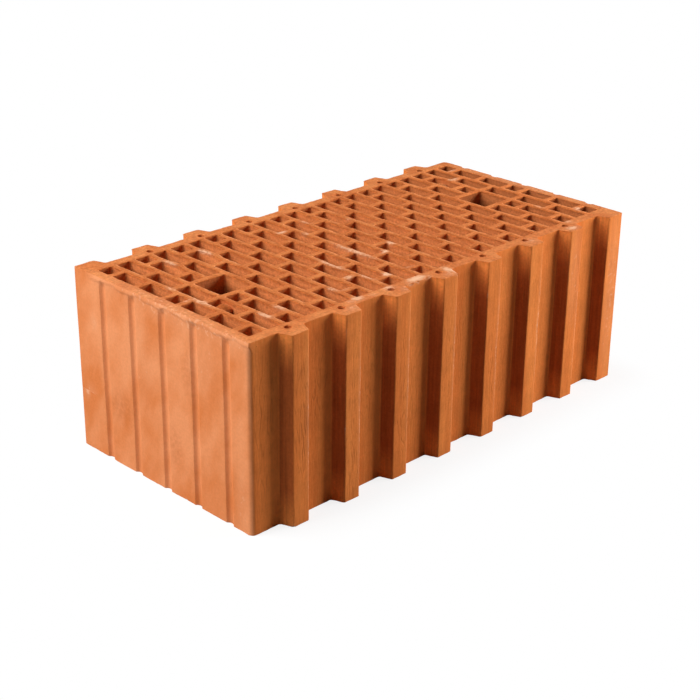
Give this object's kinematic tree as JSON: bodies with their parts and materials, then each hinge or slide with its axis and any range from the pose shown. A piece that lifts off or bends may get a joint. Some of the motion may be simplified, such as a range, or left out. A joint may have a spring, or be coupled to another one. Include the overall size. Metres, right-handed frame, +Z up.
{
  "type": "hollow clay block",
  "caption": "Large fired-clay wall block with through slots, grip holes, interlocking tongues on its long sides and shallow plaster grooves on its ends.",
  "frame": {"origin": "middle of the lower bed, on the surface that the block stands on", "axes": "+X along the block's length, from the end with the front plain corner to the other; +Y across it, from front to back; +Z up, along the slots"},
  "size_m": [0.51, 0.263, 0.188],
  "materials": {
    "fired_clay": "matte fired clay, unglazed, with fine pressing streaks"
  },
  "bodies": {
    "root": {"clay_block": "fired_clay"}
  },
  "joints": []
}
